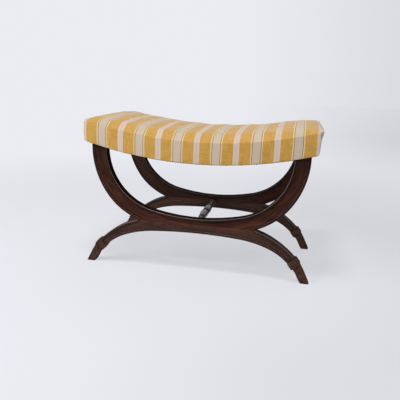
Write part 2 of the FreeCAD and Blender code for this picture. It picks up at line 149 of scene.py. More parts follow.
def feed(tree, socket, value):
    """Links a Val to a socket, or sets the socket's own number or colour."""
    if isinstance(value, Val):
        tree.links.new(value.socket, socket)
    else:
        socket.default_value = value


# %% Nodes and finishes


class Nodes:
    """Makes the nodes of one tree, of a material or of the world."""

    def __init__(self, tree):
        self.tree = tree

    def node(self, kind, settings=None, out=0, **values):
        """Any node. The settings are set first, then sockets by name, or by number as _0, _1."""
        node = self.tree.nodes.new("ShaderNode" + kind)
        for name, value in (settings or {}).items():
            if name == "stops":
                ramp_stops(node.color_ramp, value)
            else:
                setattr(node, name, value)
        for name, value in values.items():
            key = int(name[1:]) if name[1:].isdigit() else name.replace("_", " ")
            feed(self.tree, node.inputs[key], value)
        return Val(self.tree, node.outputs[out])

    def place(self, scale=(1, 1, 1), turn=(0, 0, 0)):
        """Coordinates of the object, turned and scaled."""
        coordinates = self.node("TexCoord", out="Object")
        return self.node("Mapping", Vector=coordinates, Rotation=turn, Scale=scale)

    def axes(self, vector):
        """The three parts of a vector."""
        node = self.tree.nodes.new("ShaderNodeSeparateXYZ")
        feed(self.tree, node.inputs[0], vector)
        return [Val(self.tree, out) for out in node.outputs]

    def stretched(self, x, y, z, share):
        """Coordinates of which only a share of x counts, so that noise on them is long in x."""
        return self.node("CombineXYZ", X=x * share, Y=y, Z=z)

    def noise(self, vector, scale, detail=3.0):
        """Soft noise with about scale spots per unit, and finer spots on them as detail rises."""
        return self.node("TexNoise", Vector=vector, Scale=scale, Detail=detail, Roughness=0.5)

    def mix(self, share, first, second):
        """The first colour where share is 0, the second where it is 1."""
        return self.node("Mix", {"data_type": "RGBA"}, out=2, _0=share, _6=first, _7=second)

    def ramp(self, value, *stops):
        """A colour ramp over value; each stop is (place, colour)."""
        return self.node("ValToRGB", {"stops": stops}, Fac=value)

    def step(self, value, start, end):
        """0 up to start, 1 from end, and a smooth rise between them."""
        return self.node("MapRange", {"interpolation_type": "SMOOTHSTEP"},
                         Value=value, From_Min=start, From_Max=end)


class Finish(Nodes):
    """A material under construction: one Principled shader and the nodes that feed it."""

    def __init__(self, name, **constants):
        self.material = bpy.data.materials.new(name)
        self.material.use_nodes = True
        super().__init__(self.material.node_tree)
        self.shader = self.tree.nodes["Principled BSDF"]
        self.set(**constants)

    def set(self, **values):
        """Sets shader sockets; Coat_Weight stands for Coat Weight."""
        for name, value in values.items():
            feed(self.tree, self.shader.inputs[name.replace("_", " ")], value)

    def relief(self, height, distance, strength):
        """Bumps on the shader's normal: height times distance, in metres, and how much they tell."""
        self.set(Normal=self.node("Bump", Height=height, Distance=distance, Strength=strength))


def ramp_stops(ramp, stops):
    """Gives a colour ramp its stops."""
    while len(ramp.elements) < len(stops):
        ramp.elements.new(0.5)
    for element, (place, colour) in zip(ramp.elements, stops):
        element.position = place
        element.color = colour


def rgb(red, green, blue):
    """A colour as it is seen, from 0 to 255, as linear numbers, by the sRGB curve."""
    linear = [(c / 255 / 12.92) if c <= 10 else ((c / 255 + 0.055) / 1.055) ** 2.4
              for c in (red, green, blue)]
    return (*linear, 1.0)


print("a middle grey is", round(rgb(128, 128, 128)[0], 3), "of full light")

# %% [markdown]
# ## Mahogany
#
# The frames are mahogany with an old, dark polish, and the figure of the wood follows the curve of each
# member. Straight stretched noise would cut across the curves, so the noise is stretched along bent
# coordinates instead: one number runs along a member, the others through it and across it.

# %% Bent coordinates
ARM_CENTRE_Z, ARM_HALF_WIDTH, ARM_DEPTH = 0.406, 0.335, 0.233
ARM_LENGTH_PER_RADIAN, ARM_LENGTH_PER_RING = 0.29, 0.28
LEG_LENGTH_PER_X, LEG_CUBE = 1.1, 2.3


def along_arm(x, y, z):
    """Distances along, through and across an arm, whose middle line is a quarter of an ellipse.

    Along is the angle round the ellipse's centre and across is the size of the ellipse through the
    point, each times a mean radius.
    """
    sideways = x / ARM_HALF_WIDTH
    downwards = (ARM_CENTRE_Z - z) / ARM_DEPTH
    ring = (sideways * sideways + downwards * downwards) ** 0.5
    return sideways.arctan2(downwards) * ARM_LENGTH_PER_RADIAN, y, ring * ARM_LENGTH_PER_RING


def along_leg(x, y, z):
    """The same for a leg, whose middle line falls as the cube of its distance from the centre."""
    return x * LEG_LENGTH_PER_X, y, z + LEG_CUBE * x.abs() ** 3


def along_stretcher(x, y, z):
    """The same for the stretcher, which lies straight along Y."""
    return y, x, z


# %% Figure of the wood
# The darkest tone of the figure, also used for the painted shade of the seat on the upper arms
POLISH_DARK_AND_SHADE = rgb(42, 22, 16)
POLISH_MIDDLE = rgb(66, 37, 27)
POLISH_WARM = rgb(92, 54, 38)
# Each layer of noise: the share of the length that counts, and its spots per metre
FIGURE_SHARE, FIGURE_SPOTS = 0.10, 62.0
BROAD_SHARE, BROAD_SPOTS = 0.3, 16.0
PORE_SHARE, PORE_SPOTS = 0.035, 620.0
WANDER, WANDER_SPOTS = 1.6, 9.0
OPEN_PORE = (0.58, 0.70)


def figured(finish, along, through, across):
    """Colour of the polished wood, and the share of open pores in it.

    The tone is six tenths of a fine figure, which wanders, and four tenths of a broad one.
    """
    stretched = finish.stretched(along, through, across, FIGURE_SHARE)
    wander = finish.noise(stretched, WANDER_SPOTS, 2.0)
    figure = finish.node("TexNoise", {"noise_dimensions": "4D"}, Vector=stretched,
                         W=wander * WANDER, Scale=FIGURE_SPOTS, Detail=4.0, Roughness=0.55)
    broad = finish.noise(finish.stretched(along, through, across, BROAD_SHARE), BROAD_SPOTS)
    fine = finish.noise(finish.stretched(along, through, across, PORE_SHARE), PORE_SPOTS, 2.0)
    tone = figure * 0.6 + broad * 0.4
    colour = finish.ramp(tone, (0.38, POLISH_DARK_AND_SHADE), (0.5, POLISH_MIDDLE), (0.64, POLISH_WARM))
    return colour, finish.step(fine, *OPEN_PORE)


# %% [markdown]
# ## Polish, wear and painted light
#
# The sunk panels keep a warm red brown, while the beads round them and the edges of the frames are nearly
# black, partly from old polish and partly as painted shade. The arrises carry thin pale lines, a painted
# highlight, and so do the tops of the stretcher's bulbs. The upper arms are darker with painted shade
# from the seat, and the back frame is a little paler with painted light. The legs are greyer than the
# arms, their feet are scuffed, the grooves in the middle of the stretcher are dark with painted shade,
# and inner corners are darker. All this could be painted on an image. It is found instead from where a
# point lies: its height, its depth in the frame, the way its face looks, and how near an inner corner
# is. So it needs no image and fits every member. The shine is a coat of polish, and the wood under it
# has none of its own.

# %% Wear and painted light of the stretcher and of the frames
FRAME_CENTRE_Y = 0.1785
# Each pair is where a share starts to rise from 0 and where it reaches 1. These are in metres.
SUNK_PANEL_DEPTH = (0.0152, 0.0137)
FOOT_HEIGHT = (0.094, 0.078)
SOLE_HEIGHT = (-0.01, 0.02)
BACK_FRAME_Y = (-0.05, 0.05)
STRETCHER_GROOVES = (0.012, 0.007)
STRETCHER_BULBS = (0.088, 0.070)
# These say how far a face looks to the front or the back, and how far up
LOOKS_OUT = (0.55, 0.90)
LOOKS_OUT_A_LITTLE = (0.20, 0.45)
LOOKS_ASIDE_A_LITTLE = (0.90, 0.70)
LOOKS_UP = (0.30, 0.80)
LOOKS_LEVEL = (-0.45, -0.05)
# These say how open the space before a face is, from 0 to 1
STANDS_FREE = (0.80, 0.95)
IN_A_CORNER = (0.96, 0.62)
# Patches come from noise, in spots per metre. Then follows how strong each mark is.
PATCH_SPOTS, WORN_PATCH = 70.0, (0.42, 0.62)
# The stretcher's gloss, and how strong its painted highlight is
STRETCHER_GLOSS, STRETCHER_HIGHLIGHT = 0.90, 1.4
# Strength of the scuffs on feet and legs, and of the back frame's painted light
FOOT_SCUFFS, LEG_FILM, LEG_PATCHES, BACK_FRAME_LIGHT = 0.55, 0.10, 0.12, 0.10


def stretcher_shade_and_highlight(finish, y, upwards):
    """Shares of dark, gloss, highlight and scuff: painted shade in the grooves, painted highlight on bulb
    tops.
    """
    # Painted shade: the grooves in the middle of the stretcher are dark
    dark = finish.step(y.abs(), *STRETCHER_GROOVES)
    bulbs = finish.step(y.abs(), *STRETCHER_BULBS)
    # Painted highlight: the bulbs are paler where they face up
    highlight = STRETCHER_HIGHLIGHT * finish.step(upwards, *LOOKS_UP) * bulbs * (1.0 - dark)
    return dark, STRETCHER_GLOSS, highlight, 0.0


def frame_wear_and_painted_light(finish, y, z, outwards, upwards, openness, wear):
    """The same shares for an arm or a leg.

    A face is dark where it looks aside, four tenths dark on a bead and plain on a sunk panel: partly old
    polish and partly painted shade. An arris is a free face that looks half out and half aside, and where
    it doesn't look down it gets a painted highlight. Gloss is a little everywhere, more on front faces and
    worn legs, most on the arrises, and least on the feet. Scuffs are patches on the feet and a thinner film
    on worn legs, and a thin pale film on the back frame is painted light.
    """
    foot = finish.step(z, *FOOT_HEIGHT)
    front = finish.step(outwards, *LOOKS_OUT)
    panel = finish.step((y.abs() - FRAME_CENTRE_Y).abs(), *SUNK_PANEL_DEPTH)
    # Faces that look aside, and beads, are darker: partly old polish, partly painted shade
    dark = (1.0 - front * (0.60 + 0.40 * panel)) * (1.0 - foot)
    arris = finish.step(outwards, *LOOKS_OUT_A_LITTLE) * finish.step(outwards, *LOOKS_ASIDE_A_LITTLE)
    arris = arris * finish.step(openness, *STANDS_FREE)
    gloss = (0.02 + 0.12 * wear + 0.11 * front + 0.60 * arris) * (1.0 - 0.7 * foot)
    # Painted highlight: a pale line along the arrises that don't look down
    highlight = arris * finish.step(upwards, *LOOKS_LEVEL) * (1.0 - foot)
    patches = finish.step(finish.noise(finish.place(), PATCH_SPOTS, 4.0), *WORN_PATCH)
    scuff_and_light = foot * (0.35 + 0.65 * patches) * finish.step(z, *SOLE_HEIGHT) * FOOT_SCUFFS
    scuff_and_light = scuff_and_light + wear * (1.0 - foot) * (LEG_FILM + LEG_PATCHES * patches)
    # Painted light: the back frame is made a little paler
    scuff_and_light = scuff_and_light + BACK_FRAME_LIGHT * finish.step(y, *BACK_FRAME_Y)
    return dark, gloss, highlight, scuff_and_light


# %% Mahogany finishes
# Colours laid over the figure: the dark of edges and beads (partly old polish, partly painted shade) and of
# the stretcher's grooves (painted shade), inner corners, pores, scuffs with painted light, a painted
# highlight
DARK_EDGES_AND_SHADE = rgb(17, 10, 8)
CORNER_DARK = rgb(12, 7, 6)
PORE = rgb(16, 9, 7)
SCUFF_AND_PAINTED_LIGHT = rgb(96, 78, 66)
# The pale colour of the painted highlight
PAINTED_HIGHLIGHT = rgb(150, 138, 130)
CORNER_REACH = 0.007
# Heights where the arms get painted shade from the seat, and how strong it is
SEAT_SHADE_HEIGHT, SEAT_SHADE_SHARE = (0.26, 0.37), 0.45
SMEAR_SPOTS, DENT_SPOTS, DENT_DEPTH = 38.0, 95.0, 0.0006


def mahogany(name, bend, turned=False, wear=0.0):
    """Dark polished wood whose figure follows the bend, under age marks and painted light, layer on layer.

    wear is 1 for the legs, which are greyer and shine a little all over. High up, the arms get painted
    shade from the seat.
    """
    finish = Finish(name, Specular_IOR_Level=0.0, Coat_Roughness=0.24, Coat_IOR=1.45)
    x, y, z = finish.axes(finish.place())
    colour, pores = figured(finish, *bend(x, y, z))
    openness = finish.node("AmbientOcclusion", {"samples": 8, "only_local": True}, out="AO",
                           Distance=CORNER_REACH)
    # Darker in inner corners, where little of the space around is open
    corner_dark = finish.step(openness, *IN_A_CORNER)
    outwards, upwards = finish.axes(finish.node("TexCoord", out="Normal"))[1:]
    if turned:
        dark, gloss, highlight, scuff_and_light = stretcher_shade_and_highlight(finish, y, upwards)
    else:
        dark, gloss, highlight, scuff_and_light = frame_wear_and_painted_light(finish, y, z, outwards.abs(), upwards, openness, wear)
    # Painted shade: high up, under the seat, the wood is darker
    high = SEAT_SHADE_SHARE * finish.step(z, *SEAT_SHADE_HEIGHT)
    for layer, share in ((POLISH_DARK_AND_SHADE, high), (SCUFF_AND_PAINTED_LIGHT, scuff_and_light), (DARK_EDGES_AND_SHADE, dark * 0.80),
                         (CORNER_DARK, corner_dark * 0.90), (PORE, pores * 0.5), (PAINTED_HIGHLIGHT, highlight * 0.55)):
        colour = finish.mix(share, colour, layer)
    smears = finish.noise(finish.place(), SMEAR_SPOTS, 4.0)
    finish.set(Base_Color=colour, Coat_Weight=gloss,
               Roughness=0.32 + 0.2 * smears + 0.2 * corner_dark + 0.1 * scuff_and_light)
    dents = finish.noise(finish.place(), DENT_SPOTS, 2.0)
    finish.relief(dents * 0.5 - pores * 0.35, DENT_DEPTH, 0.5)
    return finish.material


WOOD = {"arm": mahogany("mahogany_arm", along_arm),
        "leg": mahogany("mahogany_leg", along_leg, wear=1.0),
        "stretcher": mahogany("mahogany_stretcher", along_stretcher, turned=True)}
print("mahogany finishes", sorted(WOOD))

# %% [markdown]
# ## The hidden seat frame
#
# Beech rails, dowels, webbing and tacks are inside the cover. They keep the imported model's shapes and
# get plain finishes: pale sawn wood, a checked jute weave and blued steel.

# %% Beech and steel
BEECH_DARK, BEECH_PALE, BEECH_FLECK = rgb(196, 160, 118), rgb(222, 190, 150), rgb(160, 118, 80)
GRAIN_SHARE, GRAIN_SPOTS, GRAIN_DEPTH = 0.05, 160.0, 0.0004
FLECK_SHARE, FLECK_SPOTS, FLECK = 0.3, 900.0, (0.62, 0.7)
STEEL_DARK, STEEL_WORN = rgb(46, 48, 56), rgb(110, 112, 118)
SCRATCH_SPOTS, SCRATCH_DEPTH = 400.0, 0.0001


def beech(name, along):
    """Plain sawn beech with short flecks, its grain along X or Y."""
    finish = Finish(name, Specular_IOR_Level=0.3)
    turn = (0, 0, 0) if along == "X" else (0, 0, math.radians(90))
    x, y, z = finish.axes(finish.place(turn=turn))
    grain = finish.noise(finish.stretched(x, y, z, GRAIN_SHARE), GRAIN_SPOTS, 4.0)
    flecks = finish.step(finish.noise(finish.stretched(x, y, z, FLECK_SHARE), FLECK_SPOTS, 1.0), *FLECK)
    colour = finish.ramp(grain, (0.35, BEECH_DARK), (0.65, BEECH_PALE))
    finish.set(Base_Color=finish.mix(flecks * 0.5, colour, BEECH_FLECK), Roughness=0.6 + 0.1 * grain)
    finish.relief(grain, GRAIN_DEPTH, 0.4)
    return finish.material


def blued_steel():
    """Dark blued steel with small scratches."""
    finish = Finish("blued_steel", Metallic=1.0)
    worn = finish.noise(finish.place(), SCRATCH_SPOTS)
    finish.set(Base_Color=finish.ramp(worn, (0.4, STEEL_DARK), (0.7, STEEL_WORN)),
               Roughness=0.32 + 0.2 * worn)
    finish.relief(worn, SCRATCH_DEPTH, 0.3)
    return finish.material


BEECH_ALONG_X = beech("beech_long_rail", "X")
BEECH_ALONG_Y = beech("beech_end_rail", "Y")
STEEL = blued_steel()
print("finishes", BEECH_ALONG_X.name, BEECH_ALONG_Y.name, STEEL.name)

# %% Webbing and hessian
WEBBING_DARK, WEBBING_LIGHT = rgb(112, 92, 66), rgb(190, 170, 136)
WEBBING_PITCH, WEBBING_DEPTH = 0.0022, 0.0004
HESSIAN_DARK, HESSIAN_LIGHT = rgb(120, 92, 56), rgb(182, 148, 100)
HESSIAN_PITCH, HESSIAN_DEPTH = 0.0016, 0.0003
SLUB_SPOTS = 120.0


def plain_weave(finish, pitch):
    """Height of round threads, from -1 to 1: the sine of x times the sine of y, pitch metres apart."""
    x, y = finish.axes(finish.place(scale=(math.pi / pitch,) * 3))[:2]
    return x.sin() * y.sin()


def woven(name, dark, light, pitch, depth):
    """A plain weave, light on its threads and dark between them, with uneven yarn."""
    finish = Finish(name, Roughness=0.9, Specular_IOR_Level=0.15, Sheen_Weight=0.15)
    threads = plain_weave(finish, pitch)
    slub = finish.noise(finish.place(), SLUB_SPOTS)
    colour = finish.mix(threads.abs(), dark, light)
    finish.set(Base_Color=finish.mix(slub * 0.5, colour, dark))
    finish.relief(threads, depth, 0.7)
    return finish.material


WEBBING = woven("webbing", WEBBING_DARK, WEBBING_LIGHT, WEBBING_PITCH, WEBBING_DEPTH)
HESSIAN = woven("hessian", HESSIAN_DARK, HESSIAN_LIGHT, HESSIAN_PITCH, HESSIAN_DEPTH)
print("finishes", WEBBING.name, HESSIAN.name)

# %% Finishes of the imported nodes


def finish_of(name):
    """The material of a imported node, found from its name."""
    for ending, material in WOOD.items():
        if name.endswith(ending):
            return material
    if "tacks" in name or "screws" in name:
        return STEEL
    if "webbing" in name:
        return WEBBING
    if name == "hessian":
        return HESSIAN
    if name in ("left_seat_rail", "right_seat_rail", "seat_rail_dowels"):
        return BEECH_ALONG_Y
    return BEECH_ALONG_X


for name, node in NODES.items():
    node.data.materials.clear()
    node.data.materials.append(finish_of(name))
print("nodes with a finish", len(NODES))

# %% [markdown]
# ## The striped satin
#
# The cloth has wide golden satin stripes with cream and grey cream ribbed stripes between them. A
# photograph of cloth could be wrapped round the seat, but the stripes are simple, so they are drawn by
# maths from the cloth's own coordinate across its width, kept in a UV map, in metres. Folding that
# coordinate with a wrap gives the repeat, and smooth steps give the edges of each stripe.

# %% Striped cloth
REPEAT = 0.1267
# Half widths: the cream stripe and the soft edge of its core, then the grey stripe, the olive lines
# beside it and the pale bands beside those
CREAM_HALF = 0.0093
CORE_EDGE = (CREAM_HALF * 0.55, CREAM_HALF * 0.35)
GREY_HALF, OLIVE_HALF, PALE_HALF = 0.0122, 0.0146, 0.0184
EDGE_BLUR, EDGE_WOBBLE, WOBBLE_SPOTS = 0.0006, 0.0012, 22.0
RIB, THREAD, WEAVE_DEPTH = 0.0026, 0.0009, 0.00018
# Noise in the yarn: the share of the thread's length that counts, and spots per metre
STREAK_SHARE, STREAK_SPOTS = 0.03, 900.0
YARN_SHARE, YARN_SPOTS = 0.06, 420.0
BLOTCH_SPOTS, BLOTCH = 16.0, (0.5, 0.8)
GOLD_DARK, GOLD_LIGHT = rgb(192, 140, 50), rgb(226, 178, 82)
PALE, OLIVE = rgb(234, 206, 156), rgb(160, 134, 86)
RIB_DARK, RIB_LIGHT = rgb(196, 176, 148), rgb(232, 213, 188)
CREAM, CREAM_CORE, CREAM_SLUB = rgb(226, 200, 176), rgb(212, 194, 176), rgb(230, 218, 204)
# A brown laid over the cloth: a little everywhere as painted shade between the threads, more in soiled
# blotches
SOIL_AND_THREAD_SHADE, THREAD_SHADE_ALL_OVER, SOIL_IN_BLOTCHES = rgb(120, 90, 56), 0.09, 0.14


def stripe(finish, distance, half_width):
    """1 within a stripe and 0 outside it, with a soft edge."""
    return finish.step(distance, half_width + EDGE_BLUR, half_width - EDGE_BLUR)


def ripple(value, pitch):
    """A sine wave that repeats every pitch metres."""
    return (value * (2 * math.pi / pitch)).sin()


def striped_cloth():
    """Satin stripes across U; V runs along the warp threads."""
    finish = Finish("striped_satin", Specular_IOR_Level=0.35, Sheen_Weight=0.12, Sheen_Roughness=0.45)
    u, v = finish.axes(finish.node("UVMap", {"uv_map": "cloth"}))[:2]
    wobble = finish.noise(finish.node("CombineXYZ", X=u, Y=v), WOBBLE_SPOTS, 2.0)
    u = u + EDGE_WOBBLE * (wobble - 0.5)
    from_cream = u.wrap(REPEAT / 2, -REPEAT / 2).abs()
    from_grey = REPEAT / 2 - from_cream
    cream = stripe(finish, from_cream, CREAM_HALF)
    grey = stripe(finish, from_grey, GREY_HALF)
    ribs = ripple(u, RIB)
    streak = finish.noise(finish.node("CombineXYZ", X=u, Y=v * STREAK_SHARE), STREAK_SPOTS, 2.0)
    slub = finish.noise(finish.node("CombineXYZ", X=u * YARN_SHARE, Y=v), YARN_SPOTS)
    blotch = finish.step(finish.noise(finish.node("CombineXYZ", X=u, Y=v), BLOTCH_SPOTS, 4.0), *BLOTCH)
    gold = finish.ramp(streak * 0.6 + slub * 0.4, (0.35, GOLD_DARK), (0.65, GOLD_LIGHT))
    cloth = finish.mix(stripe(finish, from_grey, PALE_HALF), gold, PALE)
    cloth = finish.mix(stripe(finish, from_grey, OLIVE_HALF), cloth, OLIVE)
    cloth = finish.mix(grey, cloth, finish.mix(ribs * 0.5 + 0.5, RIB_DARK, RIB_LIGHT))
    creamy = finish.mix(finish.step(from_cream, *CORE_EDGE), CREAM, CREAM_CORE)
    cloth = finish.mix(cream, cloth, finish.mix(slub * 0.4, creamy, CREAM_SLUB))
    # Painted shade between the threads all over, and soil in blotches
    cloth = finish.mix(THREAD_SHADE_ALL_OVER + SOIL_IN_BLOTCHES * blotch, cloth, SOIL_AND_THREAD_SHADE)
    finish.set(Base_Color=cloth, Roughness=0.46 + 0.22 * cream.most(grey) + 0.1 * slub)
    weave = ripple(u, THREAD) * ripple(v, THREAD) * 0.5 + ribs * grey * 0.8 + slub * 0.6
    finish.relief(weave, WEAVE_DEPTH, 0.55)
    return finish.material


SATIN = striped_cloth()
print("cloth repeat", REPEAT)

# %% [markdown]
# ## The shape of the seat
#
# The whole seat lies on one long dip, an arc of a big circle. The cover is one strip of cloth that runs
# from under the front rail, up the front, over the top and down the back, and a panel at each end. It
# could be pulled over a block by a cloth simulation, but it is stretched so tight that its shape is
# known: side walls a little bulged, a crisp edge, a quick shoulder and a slow crown. So it is worked out
# on a grid, one column per place along the stool and one row per place across it.

# %% Dip and crown
HALF_LENGTH, HALF_DEPTH = 0.380, 0.212
SEAT_LOW_Z = 0.3745
DISH_RADIUS = 1.389
CROWN_HEIGHT, CROWN_REACH, CROWN_POWER = 0.032, 0.392, 8
SUNK_SHARE, SUNK_FROM, SUNK_OVER = 0.13, 0.12, 0.18
WAVES = 16


def dish(x):
    """Height of the seat's underside: the bottom of a circle of DISH_RADIUS."""
    return SEAT_LOW_Z + DISH_RADIUS - np.sqrt(DISH_RADIUS ** 2 - x ** 2)


def crown(x):
    """Rise of the stuffing at its middle: full height, falling by an eighth power to the ends."""
    return CROWN_HEIGHT * (1 - (np.abs(x) / CROWN_REACH) ** CROWN_POWER)


def smooth(t):
    """0 below 0, 1 above 1, and 3t squared less 2t cubed between."""
    t = np.clip(t, 0, 1)
    return t * t * (3 - 2 * t)


def settled(x):
    """Share of the crown that is left: the stuffing has sunk a little towards the left end."""
    return 1 - SUNK_SHARE * smooth((-x - SUNK_FROM) / SUNK_OVER)


def soft_noise(a, b, scale, seed):
    """Sum of sixteen waves, about one high; a and b in metres.

    Each has a random direction and phase, and goes from half to one and a half times in scale metres.
    """
    random = np.random.default_rng(seed)
    angle, phase = random.uniform(0, 2 * math.pi, (2, WAVES))
    rate = 2 * math.pi / scale * random.uniform(0.5, 1.5, WAVES)
    waves = np.sin(a[..., None] * np.cos(angle) * rate + b[..., None] * np.sin(angle) * rate + phase)
    return waves.sum(-1) / math.sqrt(WAVES)


print("underside from", SEAT_LOW_Z, "to", round(float(dish(HALF_LENGTH)), 4))

# %% Half of the cover's outline, from the middle of its underside to the middle of its top
BOXING_HEIGHT, BOXING_BULGE = 0.070, 0.0012
SHOULDER_WIDTH, SHOULDER_SHARE, SHOULDER_POWER = 0.053, 0.82, 1.9
HEM_WIDTH, HEM_THICKNESS, HEM_STEP = 0.0155, 0.0016, 0.001
EDGE_RADIUS = 0.0025
UNDER_ROWS, HEM_ROWS, EDGE_ROWS, WALL_ROWS, SHOULDER_ROWS, CROWN_ROWS = 12, 5, 4, 27, 26, 55


def even_steps(rows):
    """Even steps from 0 to 1, without the 0."""
    return np.linspace(0, 1, rows + 1)[1:]


# Each row of points holds its inset from the wall, its height and its share of the crown
round_edge = math.pi / 2 * even_steps(EDGE_ROWS)
wall = np.linspace(EDGE_RADIUS, BOXING_HEIGHT, WALL_ROWS + 1)[1:]
inset = np.concatenate([
    np.linspace(HALF_DEPTH, HEM_WIDTH + HEM_STEP, UNDER_ROWS),
    np.linspace(HEM_WIDTH, EDGE_RADIUS, HEM_ROWS),
    EDGE_RADIUS * (1 - np.sin(round_edge)),
    -BOXING_BULGE * (1 - (2 * wall / BOXING_HEIGHT - 1) ** 2),
    SHOULDER_WIDTH * even_steps(SHOULDER_ROWS),
    SHOULDER_WIDTH + (HALF_DEPTH - SHOULDER_WIDTH) * even_steps(CROWN_ROWS)])
height = np.concatenate([
    np.full(UNDER_ROWS, HEM_THICKNESS),
    np.zeros(HEM_ROWS),
    EDGE_RADIUS * (1 - np.cos(round_edge)),
    wall,
    np.full(SHOULDER_ROWS + CROWN_ROWS, BOXING_HEIGHT)])
share = np.concatenate([
    np.zeros(UNDER_ROWS + HEM_ROWS + EDGE_ROWS + WALL_ROWS),
    SHOULDER_SHARE * (1 - (1 - even_steps(SHOULDER_ROWS)) ** SHOULDER_POWER),
    SHOULDER_SHARE + (1 - SHOULDER_SHARE) * (1 - (1 - even_steps(CROWN_ROWS)) ** 2)])
ARRIS = UNDER_ROWS + HEM_ROWS + EDGE_ROWS + WALL_ROWS - 1
print("rows in half the outline", len(inset), "arris row", ARRIS)

# %% Whole outline and the columns along the seat
END_SHARE, END_COLUMNS, MIDDLE_COLUMNS = 0.16, 26, 184
near_end = 1 - END_SHARE * (1 - np.sin(np.linspace(0, math.pi / 2, END_COLUMNS)))
middle_part = np.linspace(END_SHARE - 1, 1 - END_SHARE, MIDDLE_COLUMNS + 2)[1:-1]
columns = np.concatenate([-near_end[::-1], middle_part, near_end])
ROW_Y = np.concatenate([inset - HALF_DEPTH, (HALF_DEPTH - inset)[::-1][1:]])
ROW_INSET, ROW_HEIGHT, ROW_SHARE = (np.concatenate([half, half[::-1][1:]])
                                    for half in (inset, height, share))
TOP_ROWS = slice(ARRIS, len(ROW_Y) - ARRIS)
ON_TOP = np.zeros(len(ROW_Y), bool)
ON_TOP[TOP_ROWS] = True
ROW_END = np.where(ON_TOP, HALF_LENGTH, HALF_LENGTH - ROW_INSET)
print("rows", len(ROW_Y), "columns", len(columns))

# %% Strip of cloth, front to back
PUFF_LEFT, PUFF_RIGHT = 0.0028, 0.0085
PUFF_MARGIN, PUFF_BACK_SHARE, PUFF_FRONT_Y, PUFF_FADE = 0.012, 0.45, 0.02, 0.19
PUFF_FOOT_SHARE, PUFF_FOOT_RISE, PUFF_FROM_RISE, PUFF_RISE = 0.15, 0.02, 0.036, 0.030
PUFF_COLUMNS = 0.05
SINK, SINK_FROM, SINK_OVER = 0.0055, 0.352, 0.028


def puff(side, y, rise):
    """How far an end panel stands out: most at its top front corner, more on the right.

    The greatest reach times a share for y, which is 0 at both corner seams and falls towards the back,
    times a share for the rise above the hem, which is small at the foot and whole near the top.
    """
    reach = np.where(side > 0, PUFF_RIGHT, PUFF_LEFT)
    forward = PUFF_BACK_SHARE + (1 - PUFF_BACK_SHARE) * smooth((PUFF_FRONT_Y - y) / PUFF_FADE)
    by_y = smooth((y + HALF_DEPTH) / PUFF_MARGIN) * forward * smooth((HALF_DEPTH - y) / PUFF_MARGIN)
    by_rise = (PUFF_FOOT_SHARE * smooth(rise / PUFF_FOOT_RISE)
               + (1 - PUFF_FOOT_SHARE) * smooth((rise - PUFF_FROM_RISE) / PUFF_RISE))
    return reach * by_y * by_rise


def corner_sink(x, rise):
    """How far the top of the left end has rounded down, most at the very end."""
    return SINK * smooth((-x - SINK_FROM) / SINK_OVER) * smooth(rise / BOXING_HEIGHT)


rise, crown_share = ROW_HEIGHT[:, None], ROW_SHARE[:, None]
x = columns[None, :] * ROW_END[:, None]
at_end = smooth((np.abs(columns) - (1 - PUFF_COLUMNS)) / PUFF_COLUMNS)
x += np.sign(x) * puff(np.sign(x), ROW_Y[:, None], rise) * at_end
y = ROW_Y[:, None] + 0 * x
z = dish(x) + rise + crown_share * crown(x) * settled(x) - corner_sink(x, rise)
strip = np.stack([x, y, z], axis=-1)
print("strip grid", strip.shape)

# %% [markdown]
# ## Puckers and creases
#
# Cloth over old stuffing isn't smooth. It rises and falls in soft waves, it is drawn into streaks near
# the ends, it tugs at its tacks along the foot of each wall, and a seam stands up along each arris. Such
# marks could be sculpted by hand. Here each is a formula, and the points of the grid move outwards by
# their sum, so the marks are in the mesh and not only in the shading.

# %% Relief of the strip
# Each set of waves: its height, its length and its seed
STUFFING_WAVES = ((0.0009, 0.110, 3), (0.0004, 0.045, 4))
STREAK_HEIGHT, STREAK_LENGTH, STREAK_SEED = 0.00035, 0.016, 5
TUG_HEIGHT, TUG_LENGTH, TUG_SEED = 0.00075, 0.048, 6
# Streaks are drawn out along x, and start at a distance from the middle. Tugs are drawn out in height.
STREAK_SHARE_OF_X, STREAKS_FROM, STREAKS_OVER = 0.25, 0.22, 0.10
TUG_SHARE_OF_RISE, TUG_REACH = 0.15, 0.06
SEAM_HEIGHT, SEAM_TALL, SEAM_WIDE = 0.0005, 0.0018, 0.0025
HEM_DENT, HEM_LINE_RISE, HEM_LINE_TALL, STITCH = 0.0004, 0.0045, 0.0012, 0.0085
# Where waves and streaks are whole on the shoulder, and marks on the wall and beside the end seams
WAVES_WHOLE_AT, STREAKS_WHOLE_AT, WALL_WHOLE_AT, END_MARGIN = 0.4, 0.2, 0.006, 0.02

across = np.gradient(strip, axis=0)
along = np.gradient(strip, axis=1)
outwards = np.cross(along, across)
outwards /= np.linalg.norm(outwards, axis=-1, keepdims=True) + 1e-12
on_wall = (ROW_INSET[:, None] <= 0) * smooth(rise / WALL_WHOLE_AT)
soft = sum(size * soft_noise(x, y, length, seed) for size, length, seed in STUFFING_WAVES)
streaks = STREAK_HEIGHT * soft_noise(x * STREAK_SHARE_OF_X, y, STREAK_LENGTH, STREAK_SEED)
streaks *= smooth((np.abs(x) - STREAKS_FROM) / STREAKS_OVER)
tugs = TUG_HEIGHT * soft_noise(x, rise * TUG_SHARE_OF_RISE, TUG_LENGTH, TUG_SEED)
tugs *= smooth(1.2 - rise / TUG_REACH)
seam = np.exp(-((rise - BOXING_HEIGHT) / SEAM_TALL) ** 2) * np.exp(-(ROW_INSET[:, None] / SEAM_WIDE) ** 2)
stitches = 0.5 + 0.5 * np.cos(2 * math.pi * x / STITCH)
hem = -HEM_DENT * np.exp(-((rise - HEM_LINE_RISE) / HEM_LINE_TALL) ** 2) * (0.4 + 0.6 * stitches)
